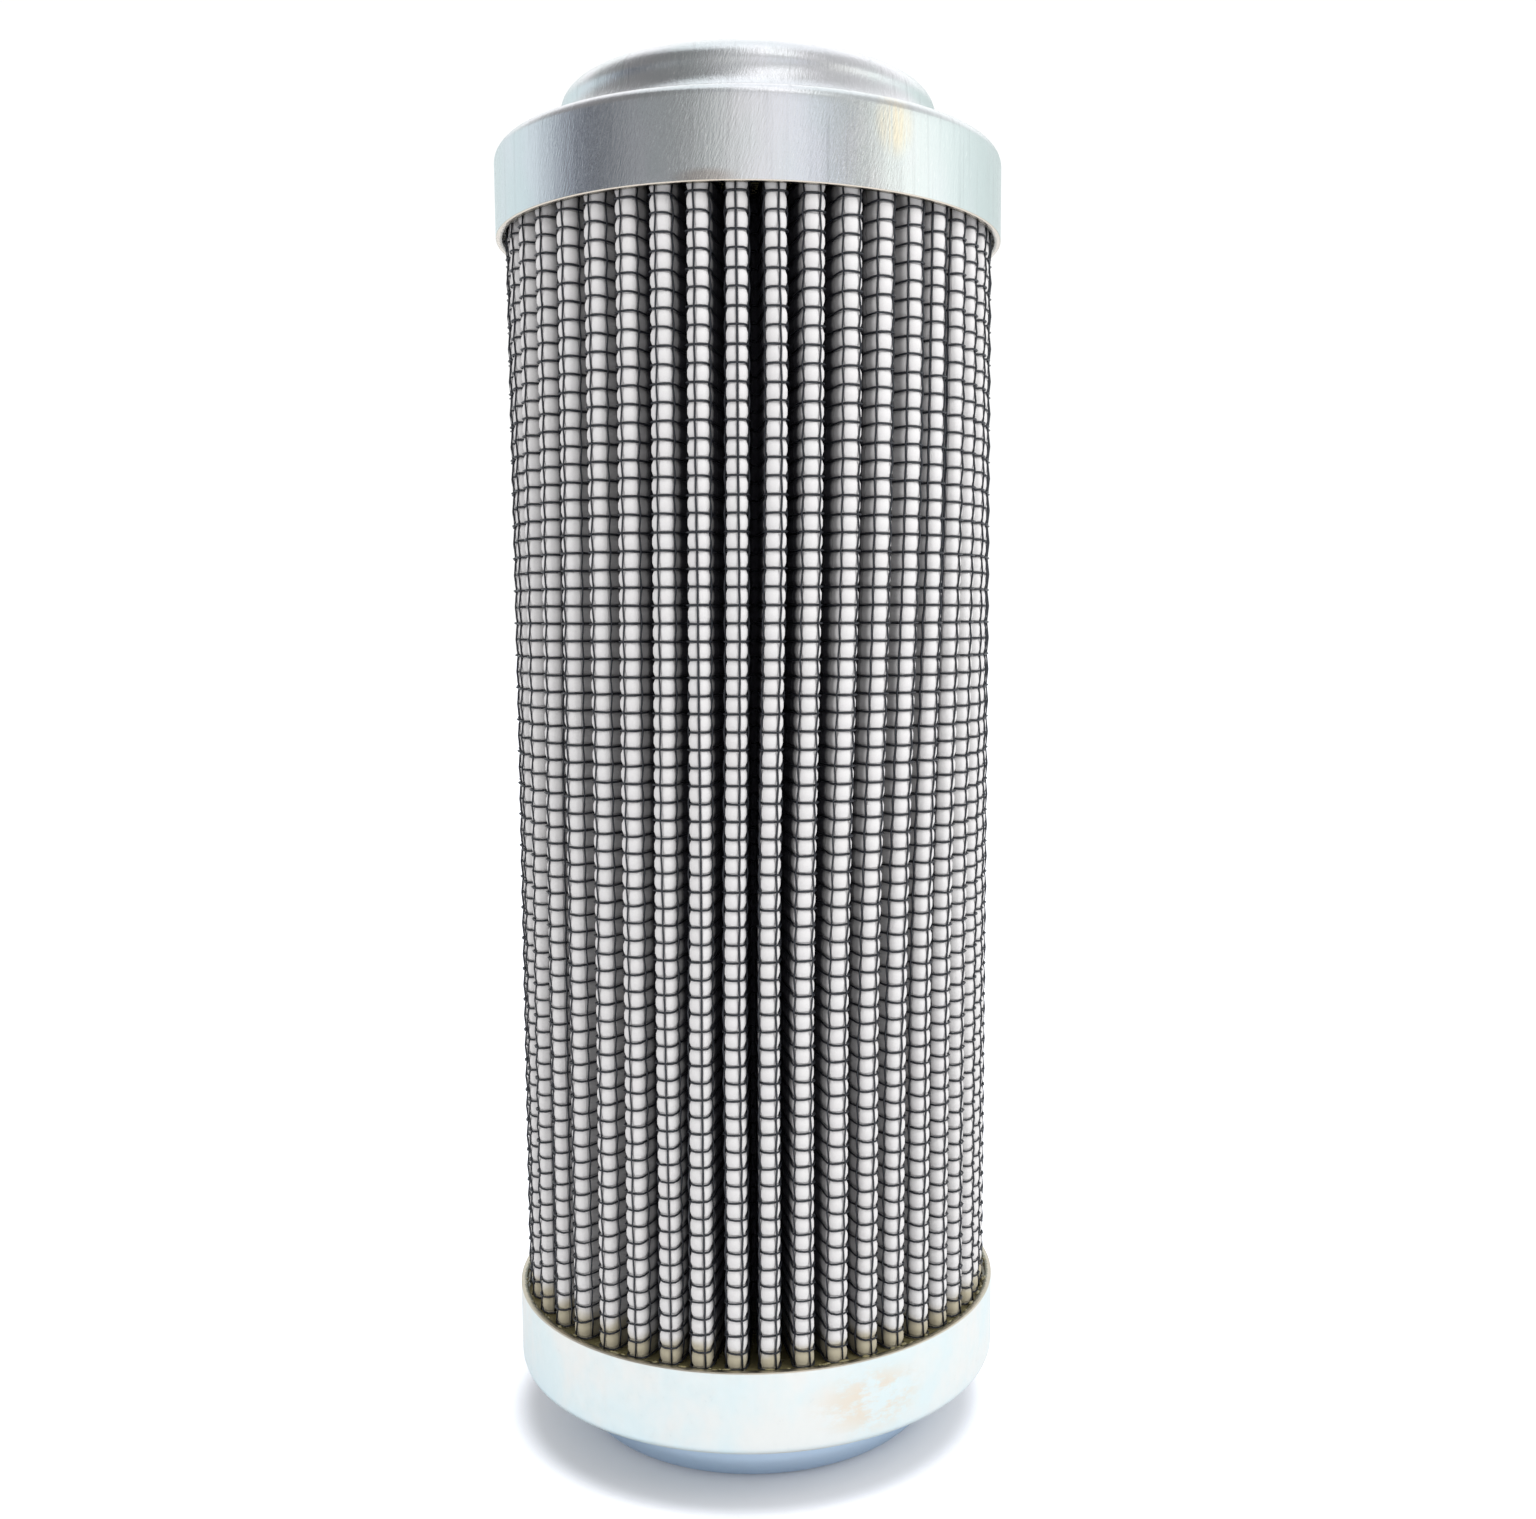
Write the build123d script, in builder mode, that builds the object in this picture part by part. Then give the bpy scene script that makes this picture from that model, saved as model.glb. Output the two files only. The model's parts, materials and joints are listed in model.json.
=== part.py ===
from build123d import *
from math import asin, atan2, cos, hypot, pi, radians, sin
import os

# Pleated hydraulic filter element: a folded pack of white media under black wire cloth, round a
# perforated core tube, potted with resin into two pressed steel end caps. The top cap has an open
# neck with a seal ring inside it, and the bottom cap is closed, with a round boss that it stands on.
# Lengths are in millimetres and angles in radians. The origin is the centre of the boss's bottom
# face, and +Z runs up the axis to the neck.

# End caps, both pressed from one gauge of sheet
cap_radius = 22.25
sheet = 0.6
skirt_height = 7.3
corner_radius = 0.8
corner_sides = 1
body_length = 108.5  # between the outer faces of the two flanges

# Neck of the top cap, turned in at its top to a lip round the spigot hole
spigot_hole_radius = 12.25
neck_edge_radius = 1.7
neck_edge_sides = 3

# Boss of the bottom cap
boss_radius = 17.0
boss_height = 5.3
boss_edge_radius = 2.0
boss_edge_sides = 3

# Seal ring, its round section drawn with flat sides, and the washer that it sits on. The neck is
# sized to hold them.
seal_section = 3.8
seal_sides = 6
seal_grip = 0.35  # how far the ring stands inside the spigot hole
seal_clearance = 0.2  # from the ring and the washer to the neck's wall
seal_headroom = 0.9  # from the ring to the lip above it
washer_thickness = 0.8
washer_clearance = 0.1  # how much wider the washer's hole is than the core's

# Perforated core tube
core_clearance = 0.25  # how much wider the core is than the spigot hole
core_wall = 0.5
core_slot_width = 4.4
core_slot_length = 9.0
core_slot_columns = 5
core_slot_rows = 6
core_plain_end = 11.0  # length without slots inside each end cap

# Folded pack: a sheet of media with wire cloth over its outer side
fold_pitch = 1.82  # least room for one fold, round the circle of the inner folds
pack_clearance = 0.1  # from the pack to a skirt outside it, and to the core inside it
media_thickness = 0.55
cloth_thickness = 0.25
wire_height = 0.25
wire_pitch = 1.41
wire_width = 0.35
crest_gap = 0.4  # between the cloth on neighbouring outer folds
root_gap = 0.1  # between the cloth's two sides in an inner fold
crest_sides = 4
root_sides = 1
lining_crest_sides = 1  # the media's side that faces the core
lining_root_sides = 2

# Potting resin, level in each cap a little below the skirt's edge
resin_recess = 1.2

# Radii
skirt_bore = cap_radius - sheet
boss_bore = boss_radius - sheet
core_bore = spigot_hole_radius + core_clearance
core_radius = core_bore + core_wall
seal_inner = spigot_hole_radius - seal_grip
neck_bore = seal_inner + seal_section + seal_clearance
neck_radius = neck_bore + sheet

# Levels along the axis
bottom_flange = boss_height
bottom_rim = bottom_flange + skirt_height
top_flange = bottom_flange + body_length
top_rim = top_flange - skirt_height
core_foot = sheet
core_top = top_flange - sheet
washer_top = core_top + washer_thickness
neck_top = washer_top + seal_section + seal_headroom + sheet
pack_foot = bottom_rim - resin_recess
pack_top = top_rim + resin_recess

# Fold geometry. Every fold is two arcs joined by straight legs. A face of a layer lies a fixed
# distance outwards from the middle of the media, so its crest arcs are larger and its root arcs
# smaller by that distance.
media_face = media_thickness / 2
cloth_face = media_face + cloth_thickness
root_bend = cloth_face + root_gap / 2
root_centre = core_radius + pack_clearance + media_face + root_bend
pleat_count = int(2 * pi * root_centre / fold_pitch)
half_pitch = pi / pleat_count
crest_top = skirt_bore - pack_clearance - wire_height - cloth_face  # of the media's middle
crest_bend = (crest_top * sin(half_pitch) - cloth_face - crest_gap / 2) / (1 + sin(half_pitch))
crest_centre = crest_top - crest_bend
fold_rise = crest_centre - root_centre * cos(half_pitch)
fold_run = root_centre * sin(half_pitch)
leg_tilt = atan2(fold_run, fold_rise) - asin((crest_bend + root_bend) / hypot(fold_rise, fold_run))
crest_sweep = pi / 2 - leg_tilt  # from a crest's middle to its leg
root_sweep = crest_sweep - half_pitch


def bend(centre, radius, start, sides):
    """Corners of a quarter turn about a centre, from a start angle in degrees, with equal sides."""
    angles = [radians(start + 90 * step / sides) for step in range(sides + 1)]
    return [(centre[0] + radius * cos(angle), centre[1] + radius * sin(angle)) for angle in angles]


def on_circle(centre_radius, centre_angle, radius, angle):
    """The point at an angle on a small circle, whose centre is at a radius and angle from the axis."""
    x = centre_radius * cos(centre_angle) + radius * cos(angle)
    y = centre_radius * sin(centre_angle) + radius * sin(angle)
    return (x, y)


def fan(sweep, sides):
    """Angles that divide an arc of twice the sweep into equal sides."""
    return [sweep * (2 * step / sides - 1) for step in range(sides + 1)]


def wired_crest(radius):
    """Angle and radius of each corner of a crest that carries two ridges, one for each wire."""
    wire_angle = wire_pitch / (2 * radius)
    half_width = wire_width / (2 * radius)
    corners = [
        (angle, radius)
        for angle in fan(crest_sweep, crest_sides)
        if abs(abs(angle) - wire_angle) > half_width
    ]
    for middle in (-wire_angle, wire_angle):
        corners += [
            (middle - half_width, radius),
            (middle - half_width / 2, radius + wire_height),
            (middle + half_width / 2, radius + wire_height),
            (middle + half_width, radius),
        ]
    return sorted(corners)


def plain_crest(radius, sides):
    """Angle and radius of each corner of a plain crest."""
    return [(angle, radius) for angle in fan(crest_sweep, sides)]


def fold_outline(crest, root_radius, sides):
    """Corners of one face of a layer, once round the axis: each crest and the root that follows it."""
    corners = []
    for pleat in range(pleat_count):
        middle = 2 * half_pitch * pleat
        corners += [on_circle(crest_centre, middle, radius, middle + angle) for angle, radius in crest]
        middle += half_pitch
        corners += [
            on_circle(root_centre, middle, root_radius, middle + pi - angle)
            for angle in fan(root_sweep, sides)
        ]
    return corners


with BuildPart() as bottom_end_cap:
    boss_bend = (boss_radius - boss_edge_radius, boss_edge_radius)
    skirt_bend = (cap_radius - corner_radius, bottom_flange + corner_radius)
    with BuildSketch(Plane.XZ):
        with BuildLine():
            Polyline(
                (0, 0),
                *bend(boss_bend, boss_edge_radius, -90, boss_edge_sides),
                (boss_radius, bottom_flange),
                *bend(skirt_bend, corner_radius, -90, corner_sides),
                (cap_radius, bottom_rim),
                (skirt_bore, bottom_rim),
                (skirt_bore, bottom_flange + sheet),
                (boss_bore, bottom_flange + sheet),
                *reversed(bend(boss_bend, boss_edge_radius - sheet, -90, 1)),
                (0, sheet),
                close=True,
            )
        make_face()
    revolve(axis=Axis.Z)

with BuildPart() as top_end_cap:
    neck_bend = (neck_radius - neck_edge_radius, neck_top - neck_edge_radius)
    skirt_bend = (cap_radius - corner_radius, top_flange - corner_radius)
    with BuildSketch(Plane.XZ):
        with BuildLine():
            Polyline(
                (cap_radius, top_rim),
                *bend(skirt_bend, corner_radius, 0, corner_sides),
                (neck_radius, top_flange),
                *bend(neck_bend, neck_edge_radius, 0, neck_edge_sides),
                (spigot_hole_radius, neck_top),
                (spigot_hole_radius, neck_top - sheet),
                *reversed(bend(neck_bend, neck_edge_radius - sheet, 0, 1)),
                (neck_bore, top_flange - sheet),
                (skirt_bore, top_flange - sheet),
                (skirt_bore, top_rim),
                close=True,
            )
        make_face()
    revolve(axis=Axis.Z)

with BuildPart() as seal_ring:
    with BuildSketch(Plane.XZ):
        with Locations((seal_inner + seal_section / 2, washer_top + seal_section / 2)):
            RegularPolygon(seal_section / 2, seal_sides, rotation=90)
    revolve(axis=Axis.Z)

with BuildPart() as seal_washer:
    with BuildSketch(Plane.XY.offset(core_top)):
        Circle(neck_bore - seal_clearance)
        Circle(core_bore + washer_clearance, mode=Mode.SUBTRACT)
    extrude(amount=washer_thickness)

with BuildPart() as core_tube:
    with BuildSketch(Plane.XY.offset(core_foot)):
        Circle(core_radius)
        Circle(core_bore, mode=Mode.SUBTRACT)
    extrude(amount=core_top - core_foot)
    slot_pitch = (core_top - core_foot - 2 * core_plain_end) / core_slot_rows
    slot_turn = 360 / core_slot_columns
    for row in range(core_slot_rows):
        level = core_foot + core_plain_end + slot_pitch * (row + 0.5)
        stagger = slot_turn / 2 * (row % 2)
        turns = [stagger + slot_turn * column for column in range(core_slot_columns)]
        facings = [Vector(cos(radians(turn)), sin(radians(turn)), 0) for turn in turns]
        with BuildSketch(*[Plane((0, 0, level), (0, 0, 1), facing) for facing in facings]):
            Rectangle(core_slot_length, core_slot_width)
        extrude(amount=core_radius + core_wall, mode=Mode.SUBTRACT)

with BuildPart() as filter_media:
    with BuildSketch(Plane.XY.offset(pack_foot)):
        with BuildLine():
            outer_crest = plain_crest(crest_bend + media_face, crest_sides)
            Polyline(fold_outline(outer_crest, root_bend - media_face, root_sides), close=True)
        make_face()
        with BuildLine():
            inner_crest = plain_crest(crest_bend - media_face, lining_crest_sides)
            Polyline(fold_outline(inner_crest, root_bend + media_face, lining_root_sides), close=True)
        make_face(mode=Mode.SUBTRACT)
    extrude(amount=pack_top - pack_foot)

with BuildPart() as wire_cloth:
    with BuildSketch(Plane.XY.offset(pack_foot)):
        with BuildLine():
            outer_crest = wired_crest(crest_bend + cloth_face)
            Polyline(fold_outline(outer_crest, root_bend - cloth_face, root_sides), close=True)
        make_face()
        with BuildLine():
            inner_crest = plain_crest(crest_bend + media_face, crest_sides)
            Polyline(fold_outline(inner_crest, root_bend - media_face, root_sides), close=True)
        make_face(mode=Mode.SUBTRACT)
    extrude(amount=pack_top - pack_foot)

with BuildPart() as bottom_resin:
    with BuildSketch(Plane.XY.offset(bottom_flange + sheet)):
        Circle(skirt_bore)
        Circle(core_radius, mode=Mode.SUBTRACT)
    extrude(amount=pack_foot - bottom_flange - sheet)

with BuildPart() as top_resin:
    with BuildSketch(Plane.XY.offset(pack_top)):
        Circle(skirt_bore)
        Circle(core_radius, mode=Mode.SUBTRACT)
    extrude(amount=top_flange - sheet - pack_top)

parts = {
    "bottom_end_cap": bottom_end_cap.part,
    "top_end_cap": top_end_cap.part,
    "seal_ring": seal_ring.part,
    "seal_washer": seal_washer.part,
    "core_tube": core_tube.part,
    "filter_media": filter_media.part,
    "wire_cloth": wire_cloth.part,
    "bottom_resin": bottom_resin.part,
    "top_resin": top_resin.part,
}
os.makedirs("parts", exist_ok=True)
for name, part in parts.items():
    part.label = name
    export_step(part, f"parts/{name}.step")
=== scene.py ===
import json
from math import asin, atan2, ceil, cos, floor, hypot, pi, radians, sin
from random import Random

import bmesh
import bpy
from bpy.props import FloatProperty, FloatVectorProperty, IntProperty, PointerProperty
from mathutils import Matrix, Vector, noise


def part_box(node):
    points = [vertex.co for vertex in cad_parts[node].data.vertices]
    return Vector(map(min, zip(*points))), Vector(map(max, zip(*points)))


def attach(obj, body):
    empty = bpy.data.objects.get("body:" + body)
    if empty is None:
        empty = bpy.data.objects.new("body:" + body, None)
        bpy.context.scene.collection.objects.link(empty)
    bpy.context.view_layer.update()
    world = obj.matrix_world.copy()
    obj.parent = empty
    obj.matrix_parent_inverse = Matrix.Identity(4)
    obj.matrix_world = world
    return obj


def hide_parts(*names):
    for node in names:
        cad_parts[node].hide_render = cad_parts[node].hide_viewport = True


bl_info = {
    "name": "Pleated filter element",
    "version": (1, 0, 0),
    "blender": (4, 5, 0),
    "location": "3D View > Sidebar > Filter",
    "description": "Dresses a pleated filter element with steel end caps, wire cloth and white media",
    "category": "Object",
}

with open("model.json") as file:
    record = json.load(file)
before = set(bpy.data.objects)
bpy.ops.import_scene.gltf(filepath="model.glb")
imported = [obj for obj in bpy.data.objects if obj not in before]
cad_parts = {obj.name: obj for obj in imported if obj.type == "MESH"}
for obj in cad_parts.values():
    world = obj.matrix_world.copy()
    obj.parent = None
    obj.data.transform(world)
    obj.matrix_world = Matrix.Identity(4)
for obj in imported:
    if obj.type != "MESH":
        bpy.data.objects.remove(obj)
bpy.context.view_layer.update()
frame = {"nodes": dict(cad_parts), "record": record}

MM = 0.001

# Levels and radii that the frame gives, in metres.
CAP_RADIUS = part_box("top_end_cap")[1][0]
SKIRT_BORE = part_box("bottom_resin")[1][0]
SHEET = CAP_RADIUS - SKIRT_BORE
BOTTOM_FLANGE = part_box("bottom_resin")[0][2] - SHEET
BOTTOM_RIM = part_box("bottom_end_cap")[1][2]
TOP_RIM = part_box("top_end_cap")[0][2]
TOP_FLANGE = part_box("top_resin")[1][2] + SHEET
NECK_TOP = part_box("top_end_cap")[1][2]
CORE_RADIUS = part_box("core_tube")[1][0]
PACK_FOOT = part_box("filter_media")[0][2]
WASHER_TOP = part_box("seal_washer")[1][2]
WASHER_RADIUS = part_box("seal_washer")[1][0]
SPIGOT_RADIUS = frame["record"]["mounts"][0]["dims"]["r_mm"] * MM


def number(name, description, default, **options):
    """A property that holds a number."""
    return FloatProperty(name=name, description=description, default=default, **options)


def length(name, description, default):
    """A property in metres."""
    return number(name, description, default, unit="LENGTH", subtype="DISTANCE")


def rotation(name, description, default):
    """A property in radians, shown in degrees."""
    return number(name, description, default, subtype="ANGLE")


def colour(name, description, default):
    """A property that holds a linear colour."""
    return FloatVectorProperty(
        name=name, description=description, default=default, size=3, subtype="COLOR", min=0.0, max=1.0
    )


class CapSettings(bpy.types.PropertyGroup):
    """Sizes and colours of the two pressed end caps."""

    boss_radius: length("Boss radius", "Outside radius of the closed cap's boss", 17.0 * MM)
    boss_edge: length("Boss edge", "Bend at the edge of the boss", 2.0 * MM)
    neck_clearance: length("Neck clearance", "From the washer to the neck's wall", 0.2 * MM)
    neck_edge: length("Neck edge", "Bend at the top of the neck", 2.0 * MM)
    neck_foot: length("Neck foot", "Hollow bend where the neck leaves its flange", 3.3 * MM)
    boss_foot: length("Boss foot", "Hollow bend where the boss leaves its flange", 1.0 * MM)
    top_corner: length("Open cap's corner", "Bend between flange and skirt", 1.0 * MM)
    bottom_corner: length("Closed cap's corner", "Bend between flange and skirt", 0.8 * MM)
    steps: IntProperty(name="Steps", description="Steps round the axis", default=160, min=24)
    zinc: colour("Zinc", "Colour of the plated sheet", (0.80, 0.83, 0.85))
    rim: colour("Sheared rim", "Colour of the bare sheared edge", (0.66, 0.58, 0.46))


class PackSettings(bpy.types.PropertyGroup):
    """Sizes and colours of the folded media and of its wire cloth."""

    pleats: IntProperty(name="Pleats", description="Folds round the axis", default=48, min=12)
    wire_pitch: length("Level pitch", "From one level wire to the next", 1.42 * MM)
    thread_pitch: length("Upright pitch", "From one upright wire to the next", 1.55 * MM)
    wire_radius: length("Wire radius", "Radius of one coated wire", 0.09 * MM)
    weave_depth: length("Weave depth", "How far a wire swings in and out", 0.08 * MM)
    crest_bend: length("Outer bend", "Bend of the cloth's middle at an outer fold", 0.88 * MM)
    root_bend: length("Inner bend", "Bend of the cloth's middle at an inner fold", 0.175 * MM)
    cloth_seat: length("Cloth seat", "From the skirt's bore to the cloth's middle", 0.24 * MM)
    root_seat: length("Root seat", "From the core to the cloth's inner folds", 0.76 * MM)
    skirting: length("Shown leg", "Depth of leg that carries upright wires", 1.3 * MM)
    drift: number("Drift", "How far the cloth wanders over the folds, in cells", 0.22)
    cloth_start: number("Cloth start", "From a fold's crest to its middle upright wire, in cells", 0.12)
    drift_turn: rotation("Drift turn", "Bearing where the wires lie furthest on at the top", radians(28))
    drift_lean: rotation("Drift lean", "Turn of the drift for each metre down the folds", 6.0)
    spread: rotation("Spread", "How far the folds at the left side are pushed round", radians(-9.2))
    fan: rotation("Fan", "How far the folds at the right side are fanned out at the top", radians(6.5))
    fan_loss: number("Fan loss", "Share of the fan that is gone at the foot", 0.6)
    phase: rotation("Phase", "Turn of the folds at the open cap", radians(-4.3))
    twist: rotation("Twist", "Turn of the folds from cap to cap", radians(-1.55))
    wall: length("Media wall", "Thickness of the media", 0.5 * MM)
    puff: length("Puff", "How far the media swells through the cloth", 0.17 * MM)
    media: colour("Media", "Colour of the clean media", (0.86, 0.845, 0.835))
    stain: colour("Stain", "Colour of media that has drawn up resin", (0.50, 0.45, 0.31))
    wire: colour("Wire", "Colour of the coated wire", (0.014, 0.016, 0.021))
    resin: colour("Resin", "Colour of the potting resin", (0.12, 0.11, 0.06))


class StageSettings(bpy.types.PropertyGroup):
    """Light and camera."""

    light: colour("Light", "Colour of the plain light from all round", (0.97, 0.965, 0.97))
    sky: number("Sky", "Strength of the light from all round", 1.0, min=0.0)
    lamp: number("Lamp", "Power of the soft lamp in watts", 0.5, min=0.0)
    lens: number("Lens", "Focal length in millimetres", 36.08, min=1.0)
    distance: length("Distance", "From the axis to the camera", 141.98 * MM)
    height: length("Height", "Height of the camera", 73.97 * MM)


# ---------------------------------------------------------------------------------------------
# Materials
# ---------------------------------------------------------------------------------------------


# Where most of a noise's values lie.
NOISE_LOW = 0.3
NOISE_HIGH = 0.7

# Share of a mark's spread that is whole before the mark starts to fade.
MARK_HEART = 0.3


class Nodes:
    """A node tree with short calls for its nodes."""

    def __init__(self, tree):
        self.tree = tree

    def add(self, kind, inputs=None, **settings):
        """One node with its settings and inputs. An input is a value or another node's socket."""
        node = self.tree.nodes.new("ShaderNode" + kind)
        for key, value in settings.items():
            setattr(node, key, value)
        for key, value in (inputs or {}).items():
            self.feed(node.inputs[key], value)
        return node

    def feed(self, socket, value):
        """Sets a socket, or links it to another node's socket."""
        if isinstance(value, bpy.types.NodeSocket):
            self.tree.links.new(value, socket)
        else:
            socket.default_value = value

    def maths(self, operation, first, second=0.0):
        """The result of one sum."""
        return self.add("Math", {0: first, 1: second}, operation=operation).outputs[0]

    def on_axes(self, operation, first, second):
        """The result of one sum on each axis of two vectors."""
        return self.add("VectorMath", {0: first, 1: second}, operation=operation).outputs[0]

    def size_of(self, vector):
        """How long a vector is."""
        return self.add("VectorMath", {0: vector}, operation="LENGTH").outputs["Value"]

    def between(self, value, low, high, start=0.0, end=1.0):
        """A value mapped smoothly from one span to another."""
        inputs = {"Value": value, "From Min": low, "From Max": high, "To Min": start, "To Max": end}
        return self.add("MapRange", inputs, interpolation_type="SMOOTHSTEP").outputs[0]

    def over_noise(self, value, start, end):
        """A noise mapped smoothly to a span."""
        return self.between(value, NOISE_LOW, NOISE_HIGH, start, end)

    def blend(self, factor, first, second):
        """A mix of two colours."""
        node = self.add("Mix", data_type="RGBA")
        self.feed(node.inputs[0], factor)
        self.feed(node.inputs[6], first)
        self.feed(node.inputs[7], second)
        return node.outputs[2]

    def grain(self, coordinates, scale, detail=2.0, stretch=(1.0, 1.0, 1.0), roughness=0.5):
        """Noise of so many features to the metre, stretched along each axis."""
        mapped = self.add("Mapping", {"Vector": coordinates, "Scale": [scale * s for s in stretch]})
        inputs = {"Vector": mapped.outputs[0], "Scale": 1.0, "Detail": detail, "Roughness": roughness}
        return self.add("TexNoise", inputs).outputs[0]

    def bump(self, height, distance, strength, normal=None):
        """A bump of so many metres, over another where one is given."""
        inputs = {"Height": height, "Distance": distance, "Strength": strength}
        if normal is not None:
            inputs["Normal"] = normal
        return self.add("Bump", inputs).outputs[0]

    def ramp(self, value, stops):
        """A colour ramp of stops of a position and a colour, the first at 0 and the last at 1."""
        node = self.add("ValToRGB", {0: value})
        elements = node.color_ramp.elements
        elements[0].color = solid(stops[0][1])
        elements[1].color = solid(stops[-1][1])
        for position, paint in stops[1:-1]:
            elements.new(position).color = solid(paint)
        return node.outputs[0]


class Shading(Nodes):
    """A new material, its nodes and the place of each point on the object."""

    def __init__(self, name):
        self.material = bpy.data.materials.new(name)
        self.material.use_nodes = True
        super().__init__(self.material.node_tree)
        self.shader = self.tree.nodes["Principled BSDF"]
        self.place = self.add("TexCoord").outputs["Object"]

    def level(self):
        """How high each point is."""
        return self.add("SeparateXYZ", {0: self.place}).outputs[2]

    def reach(self):
        """How far each point is from the axis."""
        return self.size_of(self.on_axes("MULTIPLY", self.place, (1.0, 1.0, 0.0)))

    def patch(self, middle, spread):
        """How near each point is to the middle of a mark: 1 there, and 0 beyond its spread."""
        away = self.on_axes("SUBTRACT", self.place, middle)
        distance = self.size_of(self.on_axes("DIVIDE", away, spread))
        return self.between(distance, MARK_HEART, 1.0, 1.0, 0.0)

    def finish(self, **inputs):
        """Feeds the shader's sockets and gives the material."""
        for key, value in inputs.items():
            self.feed(self.shader.inputs[key.replace("_", " ")], value)
        return self.material


def solid(colour_property):
    """A colour with its alpha."""
    return (*colour_property, 1.0)


def drawn_zinc_material(settings):
    """Zinc-plated sheet, brushed with fine slanting scratches, with a little yellow passivation."""
    s = Shading("drawn_zinc_sheet")
    level = s.level()
    lean = s.maths("MULTIPLY", level, -14.0)
    slanted = s.add("VectorRotate", {"Vector": s.place, "Angle": lean}, rotation_type="Z_AXIS").outputs[0]
    scratches = s.grain(slanted, 6000, 4.0, (1.0, 1.0, 0.25), 0.7)
    streaks = s.grain(s.place, 1500, 4.0, (1.0, 1.0, 0.04), 0.6)
    clouds = s.grain(s.place, 110, 3.0, (1.0, 1.0, 0.6), 0.55)
    cool = s.blend(s.between(clouds, 0.40, 0.60), (0.74, 0.79, 0.80, 1.0), (0.83, 0.82, 0.86, 1.0))
    tinted = s.blend(0.6, solid(settings.zinc), cool)
    streaked = s.blend(s.between(streaks, 0.5, 0.8, 0.0, 0.3), tinted, (0.46, 0.47, 0.49, 1.0))
    scraped = s.blend(s.between(scratches, 0.56, 0.72, 0.0, 0.5), streaked, (0.96, 0.97, 0.98, 1.0))
    drip = s.patch((0.0112, -0.0192, TOP_FLANGE - 0.0022), (0.0022, 0.0022, 0.0030))
    drip = s.maths("MULTIPLY", drip, s.between(streaks, 0.35, 0.6, 0.15, 0.7))
    stained = s.blend(drip, scraped, (0.93, 0.82, 0.62, 1.0))
    smut = s.patch((-0.0035, -0.0221, TOP_RIM + 0.0003), (0.0034, 0.0015, 0.0009))
    smutted = s.blend(s.maths("MULTIPLY", smut, 0.45), stained, (0.50, 0.40, 0.33, 1.0))
    normal = s.bump(clouds, 0.00010, 0.3)
    normal = s.bump(streaks, 0.00002, 0.6, normal)
    normal = s.bump(scratches, 0.000032, 0.8, normal)
    return s.finish(
        Base_Color=sheared(s, settings, smutted, TOP_RIM),
        Metallic=1.0,
        Roughness=s.over_noise(scratches, 0.10, 0.19),
        Normal=normal,
    )


def satin_zinc_material(settings):
    """Zinc-plated sheet with a pale satin bloom, faint mottling, some beige scuffs and a painted bluish
    shade on the boss.
    """
    s = Shading("satin_zinc_sheet")
    clouds = s.grain(s.place, 140, 4.0, (1.0, 1.0, 0.8), 0.6)
    specks = s.grain(s.place, 1400, 4.0, (1.0, 1.0, 0.7), 0.7)
    blue = s.blend(s.between(clouds, 0.36, 0.64), (0.75, 0.84, 0.83, 1.0), (0.83, 0.84, 0.80, 1.0))
    speckled = s.blend(s.between(specks, 0.62, 0.78, 0.0, 0.3), blue, (0.62, 0.65, 0.66, 1.0))
    scuff = s.patch((0.0096, -0.0201, BOTTOM_RIM - 0.0036), (0.0070, 0.0050, 0.0036))
    worn = s.grain(s.place, 420, 5.0, (0.8, 0.8, 1.6), 0.7)
    scuff = s.maths("MULTIPLY", scuff, s.between(worn, 0.40, 0.58, 0.0, 0.9))
    scuffed = s.blend(scuff, speckled, (0.80, 0.72, 0.60, 1.0))
    level = s.level()
    # Painted bluish shade on the boss below the flange. It stands in for the shadowed floor that the boss
    # mirrors.
    boss_painted_shade = s.between(level, BOTTOM_FLANGE - 0.0012, BOTTOM_FLANGE, 0.9, 0.0)
    boss_shaded = s.blend(boss_painted_shade, scuffed, (0.60, 0.74, 0.90, 1.0))
    normal = s.bump(specks, 0.00001, 0.5)
    normal = s.bump(clouds, 0.00010, 0.3, normal)
    return s.finish(
        Base_Color=sheared(s, settings, boss_shaded, BOTTOM_RIM),
        Metallic=1.0,
        Roughness=s.over_noise(specks, 0.34, 0.46),
        Normal=normal,
    )


def sheared(s, settings, sheet, rim_level):
    """The sheet's colour with a narrow bare edge at its rim, which resin has run over on the inside."""
    away = s.maths("ABSOLUTE", s.maths("SUBTRACT", s.level(), rim_level))
    ragged = s.maths("ADD", s.reach(), s.maths("MULTIPLY", s.grain(s.place, 2600, 3.0), 0.0003))
    inside = s.between(ragged, SKIRT_BORE + 0.00030, SKIRT_BORE + 0.00050, 1.0, 0.0)
    edge = s.blend(inside, solid(settings.rim), (0.13, 0.12, 0.07, 1.0))
    return s.blend(s.between(away, 0.00006, 0.00016, 0.85, 0.0), sheet, edge)


def steel_material():
    """Plain rolled sheet for the core and the washer."""
    s = Shading("plain_rolled_sheet")
    rolled = s.grain(s.place, 900, 4.0, (1.0, 1.0, 0.2))
    return s.finish(
        Base_Color=s.blend(rolled, (0.50, 0.52, 0.54, 1.0), (0.70, 0.72, 0.73, 1.0)),
        Metallic=0.6,
        Roughness=s.over_noise(rolled, 0.35, 0.55),
        Normal=s.bump(rolled, 0.00002, 0.4),
    )


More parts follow.
